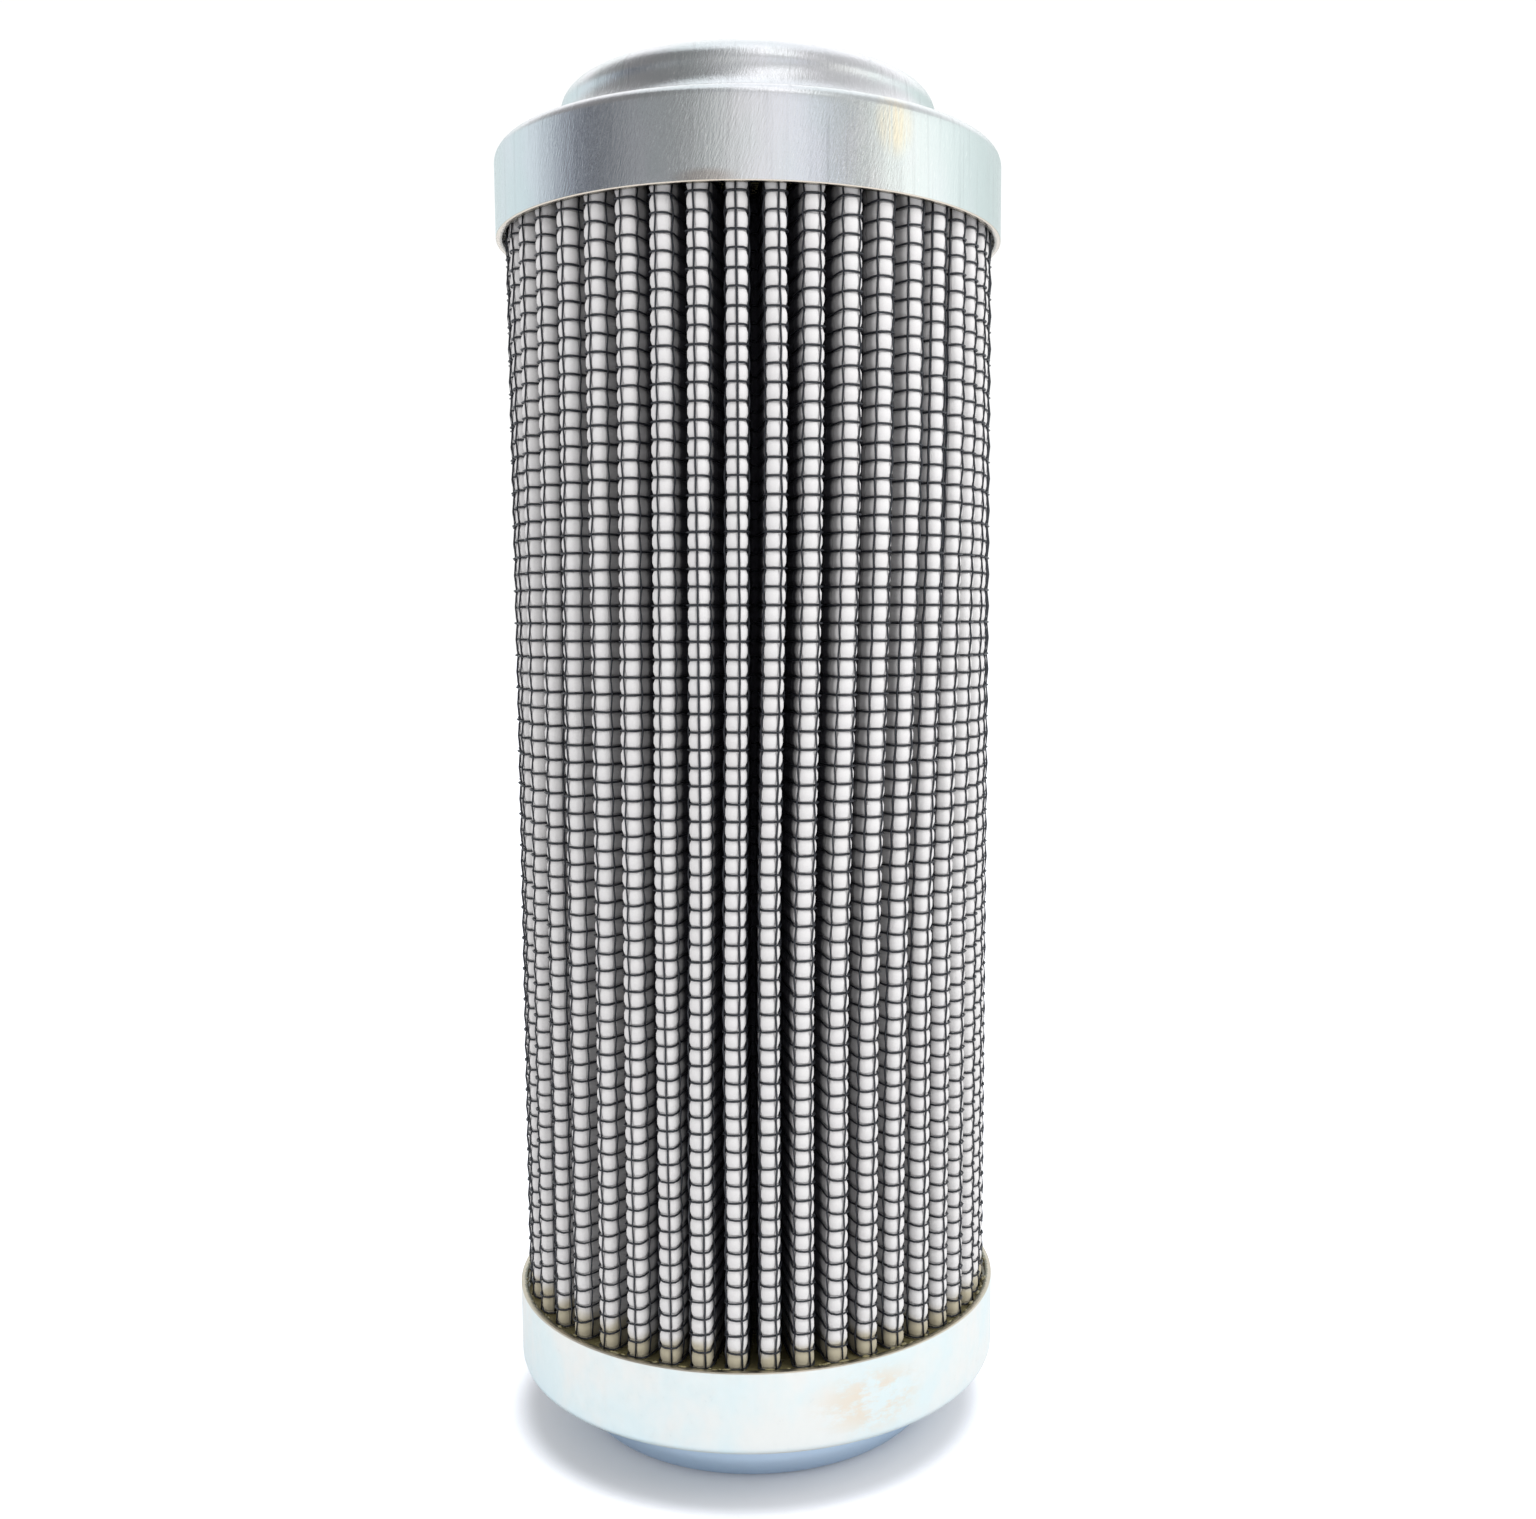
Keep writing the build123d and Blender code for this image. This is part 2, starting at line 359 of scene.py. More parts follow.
def rubber_material():
    """Black moulded rubber with a faint bloom."""
    s = Shading("moulded_rubber")
    bloom = s.grain(s.place, 700, 3.0)
    return s.finish(
        Base_Color=s.blend(bloom, (0.012, 0.012, 0.013, 1.0), (0.035, 0.035, 0.037, 1.0)),
        Roughness=s.over_noise(bloom, 0.38, 0.55),
        Normal=s.bump(bloom, 0.00001, 0.4),
    )


def wire_material(settings):
    """Dark coated wire, glossy, with small lumps in the coating."""
    s = Shading("coated_wire")
    lumps = s.grain(s.place, 5200, 2.0)
    return s.finish(
        Base_Color=s.blend(lumps, solid(settings.wire), (0.032, 0.036, 0.046, 1.0)),
        Roughness=s.over_noise(lumps, 0.28, 0.44),
        Specular_IOR_Level=0.5,
        Normal=s.bump(lumps, 0.00002, 0.5),
    )


def media_material(settings, crest_radius):
    """White felted media: cells puffed between the wires, painted shade at their edges and down the folds,
    stained at the foot.
    """
    s = Shading("felted_media")
    cells = s.add("UVMap", uv_map="cloth").outputs[0]
    across, along = (s.add("SeparateXYZ", {0: cells}).outputs[axis] for axis in (0, 1))
    swell = [s.maths("PINGPONG", run, 0.5) for run in (across, along)]
    open_cell = s.maths("MULTIPLY", *[s.between(run, 0.04, 0.12) for run in swell])
    felt = s.grain(s.place, 9000, 4.0, roughness=0.7)
    patches = s.grain(s.place, 160, 3.0)
    lit = s.blend(patches, solid(settings.media), (0.89, 0.885, 0.88, 1.0))
    felted = s.blend(s.over_noise(felt, 0.0, 0.25), lit, (0.70, 0.69, 0.68, 1.0))
    # Painted shade: the media greys round the edges of each cell, next to the wires.
    cell_edge_shaded = s.blend(s.between(open_cell, 0.0, 1.0, 0.22, 0.0), felted, (0.30, 0.30, 0.32, 1.0))
    level = s.level()
    ragged = s.maths("ADD", level, s.maths("MULTIPLY", s.maths("SUBTRACT", patches, 0.5), 0.004))
    soaked = s.between(ragged, BOTTOM_RIM + 0.0009, BOTTOM_RIM + 0.0021, 0.9, 0.0)
    stained = s.blend(soaked, cell_edge_shaded, solid(settings.stain))
    # Painted shade down the folds: the deeper a point lies below the crests, the darker it is painted. It
    # is mild at the shoulders and nearly black in the valleys.
    depth = s.reach()
    near_shade = s.between(depth, crest_radius - 0.0014, crest_radius - 0.0007, 0.5, 0.0)
    deep_shade = s.between(depth, crest_radius - 0.0028, crest_radius - 0.0012, 0.97, 0.0)
    shade = s.maths("MAXIMUM", near_shade, deep_shade)
    # The painted shade is navy. Near the foot it turns olive, where the media has drawn up resin.
    drawn = s.between(level, BOTTOM_RIM, BOTTOM_RIM + 0.004, 0.6, 0.0)
    dark = s.blend(drawn, (0.013, 0.013, 0.024, 1.0), (0.05, 0.046, 0.022, 1.0))
    normal = s.bump(open_cell, 0.00010, 0.6)
    normal = s.bump(felt, 0.00002, 0.5, normal)
    return s.finish(
        Base_Color=s.blend(shade, stained, dark),
        Roughness=0.85,
        Specular_IOR_Level=0.2,
        Sheen_Weight=0.15,
        Normal=normal,
    )


def resin_material(settings):
    """Glossy olive potting resin with cloudy depth."""
    s = Shading("potting_resin")
    clouds = s.grain(s.place, 500, 3.0)
    return s.finish(
        Base_Color=s.blend(clouds, solid(settings.resin), (0.30, 0.26, 0.12, 1.0)),
        Roughness=s.over_noise(clouds, 0.12, 0.3),
        Coat_Weight=0.5,
        Coat_Roughness=0.1,
        Normal=s.bump(clouds, 0.00015, 0.4),
    )


# ---------------------------------------------------------------------------------------------
# Meshes
# ---------------------------------------------------------------------------------------------


# Edges bent more than this are drawn as creases on a piece of sheet or resin.
CREASE = radians(40)

# Points nearer to one another than this are made one, in metres.
JOIN = 0.000001


def place_piece(name, mesh, material, slot_name, *nodes, creased=False):
    """Links a finished mesh as a piece of the object that stands for these nodes."""
    mesh.materials.clear()
    mesh.materials.append(material)
    mesh.shade_smooth()
    if creased:
        mesh.set_sharp_from_angle(angle=CREASE)
    piece = bpy.data.objects.new(name, mesh)
    bpy.context.scene.collection.objects.link(piece)
    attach(piece, "root")
    if nodes:
        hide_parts(*nodes)


def finish_node(name, material):
    """Gives a carried-over node its material."""
    node = frame["nodes"][name]
    node.data.materials.clear()
    node.data.materials.append(material)


def made_mesh(name, shape, join=None):
    """A mesh from a shape. With a join its near points are made one and its faces turned outwards."""
    if join is not None:
        bmesh.ops.remove_doubles(shape, verts=shape.verts, dist=join)
        bmesh.ops.recalc_face_normals(shape, faces=shape.faces)
    mesh = bpy.data.meshes.new(name)
    shape.to_mesh(mesh)
    shape.free()
    return mesh


def turned(name, shape, steps):
    """The mesh of an outline turned once round the axis."""
    outline = shape.verts[:] + shape.edges[:]
    bmesh.ops.spin(
        shape, geom=outline, cent=(0, 0, 0), axis=(0, 0, 1), angle=2 * pi, steps=steps, use_merge=True
    )
    return made_mesh(name, shape, JOIN)


# Straight parts of an outline longer than this are cut up, which keeps flat walls flat when shaded.
LONG_EDGE = 1.0 * MM
LONG_EDGE_CUTS = 10

# Sides of each bend in an outline.
BEND_SIDES = 7


def lathe(name, corners, bends, steps, closed=True):
    """A shell turned round the axis from an outline of (radius, level), with some corners bent."""
    shell = bmesh.new()
    verts = [shell.verts.new((radius, 0.0, level)) for radius, level in corners]
    for first, second in zip(verts, verts[1:]):
        shell.edges.new((first, second))
    if closed:
        shell.edges.new((verts[-1], verts[0]))
    for index, radius in bends.items():
        bmesh.ops.bevel(
            shell, geom=[verts[index]], offset=radius, affect="VERTICES", segments=BEND_SIDES, profile=0.5,
            material=-1,
        )
    straight = [edge for edge in shell.edges if edge.calc_length() > LONG_EDGE]
    bmesh.ops.subdivide_edges(shell, edges=straight, cuts=LONG_EDGE_CUTS)
    return turned(name, shell, steps)


# How square the tip of a fold is, outwards and to its sides: 1 is round.
CREST_FLATNESS = 0.65
CREST_FULLNESS = 0.9

# How many times the cloth wanders to and fro over the folds, once round.
DRIFT_WAVES = 4

# A push on the folds of one side, in degrees from the front towards that side: where it starts, how
# many it takes to grow, where it starts to fail and how many it takes to fail, round the back.
LEFT_PUSH = (15, 70, 85, 220)
RIGHT_FAN = (-30, 80, 80, 250)

# Where the fan starts to fail and how much it takes to fail, as shares of the way down the folds.
FAN_HELD = 0.15
FAN_FAILING = 0.6

# How far a fold may lean to one side and stand back, in metres, and its waver as so many leans.
FOLD_LEAN = 0.00007
FOLD_LIFT = 0.00008
FOLD_WAVER = 2.0

# How far a level wire and an upright wire waver, in metres.
LEVEL_WAVER = 0.00006
UPRIGHT_WAVER = 0.00007

# The noise that folds, level wires and upright wires waver by: how fine it is to the metre, how far
# apart neighbours read it, and the slice of it that is the upright wires' own.
FOLD_FINENESS = 28.0
FOLD_APART = 3.7
LEVEL_FINENESS = 300.0
LEVEL_APART = 5.1
UPRIGHT_FINENESS = 60.0
UPRIGHT_APART = 3.3
UPRIGHT_SLICE = 4.0


def flattened(height):
    """The height on a fold's tip of the same point on a round one."""
    return height**CREST_FLATNESS if height > 0.0 else height


def ease(share):
    """A smooth step from 0 to 1."""
    share = min(max(share, 0.0), 1.0)
    return share * share * (3 - 2 * share)


def side_share(bearing, push):
    """Share of a push on one side that a fold takes at a bearing towards that side."""
    start, growth, full, failing = (radians(turn) for turn in push)
    if bearing < full + failing - 2 * pi:
        bearing += 2 * pi
    if bearing < full:
        return ease((bearing - start) / growth)
    return 1 - ease((bearing - full) / failing)


class Folds:
    """The folded cloth's middle: crest and root arcs joined by straight legs, as a run of length."""

    def __init__(self, settings):
        self.pleats = settings.pleats
        self.crest_bend = settings.crest_bend
        self.root_bend = settings.root_bend
        self.crest_radius = SKIRT_BORE - settings.cloth_seat
        self.crest_centre = self.crest_radius - settings.crest_bend
        self.root_centre = CORE_RADIUS + settings.root_seat + settings.root_bend
        self.half_pitch = pi / self.pleats
        self.phase = settings.phase
        self.twist = settings.twist
        rise = self.crest_centre - self.root_centre * cos(self.half_pitch)
        run = self.root_centre * sin(self.half_pitch)
        tilt = atan2(run, rise) - asin((self.crest_bend + self.root_bend) / hypot(rise, run))
        self.crest_sweep = pi / 2 - tilt
        self.leg_length = (rise**2 + run**2 - (self.crest_bend + self.root_bend) ** 2) ** 0.5
        self.crest_run = self.crest_sweep * self.crest_bend
        self.root_run = (self.crest_sweep - self.half_pitch) * self.root_bend
        self.pleat_run = 2 * (self.crest_run + self.leg_length + self.root_run)
        self.total_run = self.pleats * self.pleat_run
        self.thread_pitch = settings.thread_pitch
        self.cloth_start = settings.cloth_start
        self.drift = settings.drift
        self.drift_turn = settings.drift_turn
        self.drift_lean = settings.drift_lean
        turns = [2 * self.half_pitch * pleat + self.phase + pi / 2 for pleat in range(self.pleats)]
        self.bearing = [(turn + pi) % (2 * pi) - pi for turn in turns]
        self.push = [settings.spread * side_share(-bearing, LEFT_PUSH) for bearing in self.bearing]
        self.fan = [settings.fan * side_share(bearing, RIGHT_FAN) for bearing in self.bearing]
        self.fan_loss = settings.fan_loss
        chance = Random(7)
        self.lean = [chance.uniform(-1.0, 1.0) for _ in range(self.pleats)]
        self.lift = [chance.uniform(-1.0, 0.3) for _ in range(self.pleats)]

    def shift(self, pleat, level):
        """How far the cloth has wandered over a fold at a level, in cells."""
        turn = self.bearing[pleat % self.pleats] - self.drift_turn + self.drift_lean * (TOP_RIM - level)
        return self.cloth_start + self.drift * cos(DRIFT_WAVES * turn)

    def thread_run(self, thread, pleat, level):
        """The run from a fold's crest to one of its threads."""
        return (thread + self.shift(pleat, level)) * self.thread_pitch

    def from_crest(self, run):
        """The pleat that a run falls in, and the signed run from its crest."""
        pleat = floor(run / self.pleat_run + 0.5)
        return pleat, run - pleat * self.pleat_run

    def local(self, run, out):
        """Radial and sideways place of a point in its pleat, moved outwards from the cloth's middle."""
        side = 1.0 if run >= 0.0 else -1.0
        run = abs(run)
        angle = min(run / self.crest_bend, self.crest_sweep)
        along = min(max(run - self.crest_run, 0.0), self.leg_length)
        reach = self.crest_bend + out
        radial = self.crest_centre + reach * flattened(cos(angle)) - along * sin(self.crest_sweep)
        sideways = reach * sin(angle) ** CREST_FULLNESS + along * cos(self.crest_sweep)
        return radial, side * sideways

    def point(self, run, out, level):
        """The point in space at a run along the cloth and a level up the axis."""
        pleat, near = self.from_crest(run)
        radial, sideways = self.local(near, out)
        index = pleat % self.pleats
        weight = (radial - self.root_centre) / (self.crest_centre - self.root_centre)
        wave = noise.noise(Vector((level * FOLD_FINENESS, index * FOLD_APART, 0.0)))
        sideways += weight * FOLD_LEAN * (self.lean[index] + FOLD_WAVER * wave)
        radial += weight * FOLD_LIFT * self.lift[index]
        down = (TOP_RIM - level) / (TOP_RIM - BOTTOM_RIM)
        middle = 2 * self.half_pitch * pleat + self.phase + self.push[index] + self.twist * down
        middle += self.fan[index] * (1 - self.fan_loss * ease((down - FAN_HELD) / FAN_FAILING))
        x = radial * cos(middle) - sideways * sin(middle)
        y = radial * sin(middle) + sideways * cos(middle)
        return x, y, level


# How far the highest level wire lies above the open cap's rim, in pitches.
HIGHEST_WIRE = 0.72


def cell_levels(settings):
    """Levels of the level wires, from just inside the open cap down into the resin."""
    first = TOP_RIM + HIGHEST_WIRE * settings.wire_pitch
    count = int((first - PACK_FOOT) / settings.wire_pitch) + 1
    return [first - settings.wire_pitch * row for row in range(count)]


# How square a puffed cell is, and the share of its swelling that is even from side to side.
CELL_SQUARENESS = 3
EVEN_SWELL = 0.65

# Steps of the media over half a crest and down one cell, and of a level wire across one cell.
CREST_STEPS = 3
CELL_STEPS = 3
WIRE_STEPS = 3

# How far the media lies behind the wires and how near its edges are joined, in metres.
MEDIA_GAP = 0.00008
MEDIA_JOIN = 0.000002


def puff(settings, across, along):
    """How far the media stands out at a place in the cloth's cells."""
    column, row = (
        1 - abs(2 * (place - floor(place)) - 1) ** CELL_SQUARENESS for place in (across, along)
    )
    return settings.puff * row * (EVEN_SWELL + (1 - EVEN_SWELL) * column)


def media_mesh(settings, folds):
    """The folded media: one flat grid rolled into a folded wall, down its outside and up its inside."""
    top = cell_levels(settings)[0]
    foot = folds.crest_run + folds.leg_length
    crest = [folds.crest_run * (step / CREST_STEPS - 1) for step in range(2 * CREST_STEPS + 1)]
    samples = [-foot, *crest, foot]
    runs = [pleat * folds.pleat_run + sample for pleat in range(folds.pleats) for sample in samples]
    runs.append(folds.total_run - foot)
    outer_foot = int(CELL_STEPS * (top - PACK_FOOT) / settings.wire_pitch)
    inner_foot = outer_foot + 1
    inner_top = outer_foot + 2
    outer_top = outer_foot + 3
    drop = settings.wire_pitch / CELL_STEPS
    seat = -settings.wire_radius - MEDIA_GAP
    sheet = bmesh.new()
    cloth = sheet.loops.layers.uv.new("cloth")
    made = bmesh.ops.create_grid(sheet, x_segments=len(runs) - 1, y_segments=outer_top, size=0.5)
    for vert in made["verts"]:
        column = round((vert.co.x + 0.5) * (len(runs) - 1))
        row = round((0.5 - vert.co.y) * outer_top)
        level = top if row >= inner_top else top - min(row, outer_foot) * drop
        run = runs[column]
        pleat, near = folds.from_crest(run)
        across = near / settings.thread_pitch - folds.shift(pleat, level)
        along = (level - top) / settings.wire_pitch
        for loop in vert.link_loops:
            loop[cloth].uv = (across, along)
        inside = row in (inner_foot, inner_top)
        out = seat - settings.wall if inside else seat + puff(settings, across, along)
        vert.co = folds.point(run, out, level)
    return made_mesh("filter_media", sheet, MEDIA_JOIN)


def wire_mesh(name, paths, radius, cyclic):
    """Wires of one radius along these paths, as one mesh with its end caps joined to the wires."""
    curve = bpy.data.curves.new(name, "CURVE")
    curve.dimensions = "3D"
    curve.bevel_depth = radius
    curve.bevel_resolution = 0
    curve.use_fill_caps = not cyclic
    for path in paths:
        spline = curve.splines.new("POLY")
        spline.points.add(len(path) - 1)
        spline.points.foreach_set("co", [value for point in path for value in (*point, 1.0)])
        spline.use_cyclic_u = cyclic
    holder = bpy.data.objects.new(name, curve)
    loose = bpy.data.meshes.new_from_object(holder)
    wires = bmesh.new()
    wires.from_mesh(loose)
    bpy.data.objects.remove(holder)
    bpy.data.curves.remove(curve)
    bpy.data.meshes.remove(loose)
    return made_mesh(name, wires, JOIN)


def level_wire(settings, folds, row, level):
    """The path of one level wire, over and under each upright wire that it crosses."""
    pitch = settings.thread_pitch
    shown = folds.crest_run + settings.skirting
    foot = folds.crest_run + folds.leg_length
    path = []
    for pleat in range(folds.pleats):
        middle = pleat * folds.pleat_run
        first = ceil(WIRE_STEPS * (-folds.shift(pleat, level) - shown / pitch))
        last = floor(WIRE_STEPS * (-folds.shift(pleat, level) + shown / pitch))
        threads = [step / WIRE_STEPS for step in range(first, last + 1)]
        stops = [(thread, folds.thread_run(thread, pleat, level)) for thread in threads]
        stops.insert(0, (0.5, -foot))
        stops.append((0.5, foot))
        for thread, near in stops:
            swing = settings.weave_depth * cos(pi * (thread + row))
            wave = noise.noise(Vector(((middle + near) * LEVEL_FINENESS, row * LEVEL_APART, 0.0)))
            path.append(folds.point(middle + near, swing, level + LEVEL_WAVER * wave))
    return path


def upright_wires(settings, folds, levels):
    """The paths of the upright wires wherever they lie on a crest or on the top of a leg."""
    shown = folds.crest_run + settings.skirting
    paths = []
    for pleat in range(folds.pleats):
        for thread in (-1, 0, 1):
            path = []
            for row, level in enumerate(levels):
                near = folds.thread_run(thread, pleat, level)
                spot = (thread * UPRIGHT_APART + pleat, level * UPRIGHT_FINENESS, UPRIGHT_SLICE)
                near += UPRIGHT_WAVER * noise.noise(Vector(spot))
                if abs(near) <= shown:
                    swing = -settings.weave_depth * cos(pi * (thread + row))
                    path.append(folds.point(pleat * folds.pleat_run + near, swing, level))
            if len(path) > 1:
                paths.append(path)
    return paths


# How many beads of resin lie round the closed cap's rim.
BEADS = 110


def bead_mesh():
    """Small beads of resin round the inside of the closed cap's rim, each drawn out along it."""
    chance = Random(11)
    beads = bmesh.new()
    for _ in range(BEADS):
        radius = chance.uniform(0.08, 0.24) * MM
        turn = chance.uniform(0.0, 2 * pi)
        reach = SKIRT_BORE + chance.uniform(-0.12, 0.12) * MM
        level = BOTTOM_RIM - 0.05 * MM
        place = Matrix.Translation((reach * cos(turn), reach * sin(turn), level))
        stretch = Matrix.Diagonal((0.8, chance.uniform(1.0, 2.2), 0.6, 1.0))
        placed = place @ (Matrix.Rotation(turn, 4, "Z") @ stretch)
        bmesh.ops.create_icosphere(beads, subdivisions=2, radius=radius, matrix=placed)
    return made_mesh("resin_beads", beads)


# ---------------------------------------------------------------------------------------------
# Stage
# ---------------------------------------------------------------------------------------------


# The floor, in metres: half its width, and how far off the axis the middle of its painted shadow lies.
FLOOR_REACH = 3.0
PAINTED_SHADOW_SHIFT = (0.0008, 0.0, 0.0)

# How the floor glows round the object's foot: two radii, and its strength at each. The first is
# what the camera sees and the second what metal mirrors.
# Nearer the foot than the first radius the glow is weak. This paints a shadow there, on top of the lamps'
# own shadow.
SEEN_GLOW_AND_PAINTED_SHADOW = (0.0200, 0.0237, 0.08, 0.70)
MIRRORED_GLOW_AND_PAINTED_SHADOW = (0.0200, 0.0270, 0.03, 0.42)

# The glow's colour, and in metal a bluer one near the foot, which is a painted blue tint on the shadow.
# Also the radii that it fades between.
GLOW = (0.90, 0.94, 1.0, 1.0)
FOOT_PAINTED_SHADOW_TINT = (0.55, 0.78, 1.0, 1.0)
FOOT_PAINTED_SHADOW_TINT_FADE = (0.0240, 0.0330)


def make_floor():
    """A pale floor that shows white to the camera, with a soft shadow at the object's foot that is partly
    painted by a weaker glow there.
    """
    slab = bmesh.new()
    bmesh.ops.create_grid(slab, x_segments=1, y_segments=1, size=FLOOR_REACH)
    mesh = made_mesh("floor", slab)
    floor_piece = bpy.data.objects.new("floor", mesh)
    bpy.context.scene.collection.objects.link(floor_piece)
    s = Shading("pale_floor")
    radius = s.size_of(s.on_axes("ADD", s.place, PAINTED_SHADOW_SHIFT))
    path = s.add("LightPath").outputs
    # Both glows fade near the foot, which paints a shadow there, both as the camera sees it and as metal
    # mirrors it.
    shown = s.maths("MULTIPLY", path["Is Camera Ray"], s.between(radius, *SEEN_GLOW_AND_PAINTED_SHADOW))
    mirrored_glow_and_painted_shadow = s.maths("MULTIPLY", path["Is Glossy Ray"], s.between(radius, *MIRRORED_GLOW_AND_PAINTED_SHADOW))
    # Painted blue tint: metal mirrors a bluer floor near the foot, where the shadow lies.
    metal_glow_with_painted_tint = s.blend(s.between(radius, *FOOT_PAINTED_SHADOW_TINT_FADE), FOOT_PAINTED_SHADOW_TINT, GLOW)
    material = s.finish(
        Base_Color=(0.70, 0.70, 0.72, 1.0),
        Roughness=0.9,
        Specular_IOR_Level=0.0,
        Emission_Color=s.blend(path["Is Glossy Ray"], GLOW, metal_glow_with_painted_tint),
        Emission_Strength=s.maths("ADD", shown, mirrored_glow_and_painted_shadow),
    )
    mesh.materials.append(material)


# What the metal mirrors round the studio, as a bearing in degrees from the front and a colour: a
# pale backdrop behind, a dark doorway to the left, plain walls in front and a window to the right.
ROOM = (
    (-180, (0.80, 0.88, 0.88)),
    (-110, (0.78, 0.88, 0.91)),
    (-101, (0.70, 0.77, 0.81)),
    (-93, (0.42, 0.47, 0.52)),
    (-80, (0.18, 0.19, 0.22)),
    (-66, (0.06, 0.065, 0.075)),
    (-61, (0.26, 0.28, 0.29)),
    (-40, (0.40, 0.41, 0.42)),
    (-31, (0.16, 0.16, 0.163)),
    (-12, (0.68, 0.67, 0.66)),
    (10, (0.98, 0.97, 0.97)),
    (28, (0.94, 0.97, 1.05)),
    (45, (0.36, 0.36, 0.35)),
    (54, (0.54, 0.54, 0.51)),
    (63, (1.32, 1.32, 1.25)),
    (90, (1.10, 1.17, 1.14)),
    (116, (0.86, 0.95, 0.93)),
    (135, (0.77, 0.86, 0.84)),
    (180, (0.80, 0.88, 0.88)),
)

# The ceiling's light at each bearing, and how much of the ceiling shows at a height.
CEILING = (
    (-180, 1.25),
    (-140, 1.1),
    (-110, 0.35),
    (-70, 0.2),
    (-30, 0.28),
    (0, 0.68),
    (60, 0.56),
    (100, 0.8),
    (130, 1.2),
    (180, 1.25),
)
CEILING_UP = ((0.0, 0.0), (0.38, 0.0), (0.50, 1.0), (1.0, 1.0))

# The ceiling's bright middle, which shows only straight overhead.
SKYLIGHT = (1.05, 1.08, 1.1, 1.0)
SKYLIGHT_UP = ((0.0, 0.0), (0.84, 0.0), (0.96, 1.0), (1.0, 1.0))

# Where a lamp hangs from the ceiling, by bearing and by height.
LAMPLIGHT = (1.45, 1.45, 1.45, 1.0)
LAMP_ROUND = ((-180, 0.0), (-2, 0.0), (8, 1.0), (27, 1.0), (38, 0.0), (180, 0.0))
LAMP_UP = ((0.0, 0.0), (0.54, 0.0), (0.68, 1.0), (1.0, 1.0))

# What the camera sees behind everything.
BACKDROP = (1.05, 1.05, 1.05, 1.0)


def make_sky(settings):
    """A pale studio: white to the camera, plain light on the object, and a room for metal to mirror."""
    world = bpy.data.worlds.new("studio")
    world.use_nodes = True
    bpy.context.scene.world = world
    s = Nodes(world.node_tree)
    facing = s.add("SeparateXYZ", {0: s.add("TexCoord").outputs["Generated"]}).outputs
    bearing = s.maths("ARCTAN2", facing["X"], s.maths("MULTIPLY", facing["Y"], -1.0))
    turn = s.add("MapRange", {"Value": bearing, "From Min": -pi, "From Max": pi}).outputs[0]

    def round_ramp(stops):
        """A colour by bearing, from stops in degrees."""
        return s.ramp(turn, [((degrees + 180) / 360, paint) for degrees, paint in stops])

    def shades(stops):
        """The same stops with greys for their strengths."""
        return [(place, (shade, shade, shade)) for place, shade in stops]

    overhead = s.ramp(facing["Z"], shades(CEILING_UP))
    walled = s.blend(overhead, round_ramp(ROOM), round_ramp(shades(CEILING)))
    covered = s.blend(s.ramp(facing["Z"], shades(SKYLIGHT_UP)), walled, SKYLIGHT)
    lamp = s.maths("MULTIPLY", s.ramp(facing["Z"], shades(LAMP_UP)), round_ramp(shades(LAMP_ROUND)))
    room = s.blend(lamp, covered, LAMPLIGHT)
    path = s.add("LightPath").outputs
    seen = s.blend(path["Is Glossy Ray"], solid(settings.light), room)
    background = s.tree.nodes["Background"]
    s.feed(background.inputs["Color"], s.blend(path["Is Camera Ray"], seen, BACKDROP))
    background.inputs["Strength"].default_value = settings.sky


# The soft lamp, in metres: how wide it is, where it hangs and the point that it is aimed at.
SOFT_LAMP_SIZE = 0.25
SOFT_LAMP_PLACE = Vector((0.24, -0.17, 0.30))
SOFT_LAMP_AIM = Vector((0.0, 0.0, 0.06))


def make_lamp(settings):
    """One large soft lamp, high up and to the right."""
    lamp = bpy.data.lights.new("soft_lamp", "AREA")
    lamp.shape = "DISK"
    lamp.size = SOFT_LAMP_SIZE
    lamp.energy = settings.lamp
    holder = bpy.data.objects.new("soft_lamp", lamp)
    holder.location = SOFT_LAMP_PLACE
    holder.rotation_euler = (SOFT_LAMP_AIM - SOFT_LAMP_PLACE).to_track_quat("-Z", "Y").to_euler()
    holder.visible_glossy = False
    bpy.context.scene.collection.objects.link(holder)


# How the camera is turned from level and straight ahead in radians, and how its lens is shifted, as
# shares of the frame's width.
CAMERA_DIP = 0.1079
CAMERA_ROLL = 0.0035
CAMERA_TURN = -0.0385
LENS_SHIFT = (-0.0288, 0.0154)


def make_camera(settings):
    """A camera level with the upper part of the folds, looking slightly down."""
    lens = bpy.data.cameras.new("camera")
    lens.lens = settings.lens
    lens.sensor_width = 36.0
    lens.shift_x, lens.shift_y = LENS_SHIFT
    lens.clip_start = 0.01
    camera = bpy.data.objects.new("camera", lens)
    camera.location = (0.0, -settings.distance, settings.height)
    camera.rotation_euler = (pi / 2 - CAMERA_DIP, CAMERA_ROLL, CAMERA_TURN)
    bpy.context.scene.collection.objects.link(camera)
    bpy.context.scene.camera = camera


# ---------------------------------------------------------------------------------------------
# Operators
# ---------------------------------------------------------------------------------------------


# Bend of a cut edge of the sheet, and of a cap's inside between flange and skirt.
SHEARED_EDGE = 0.2 * SHEET
INSIDE_BEND = 0.3 * MM


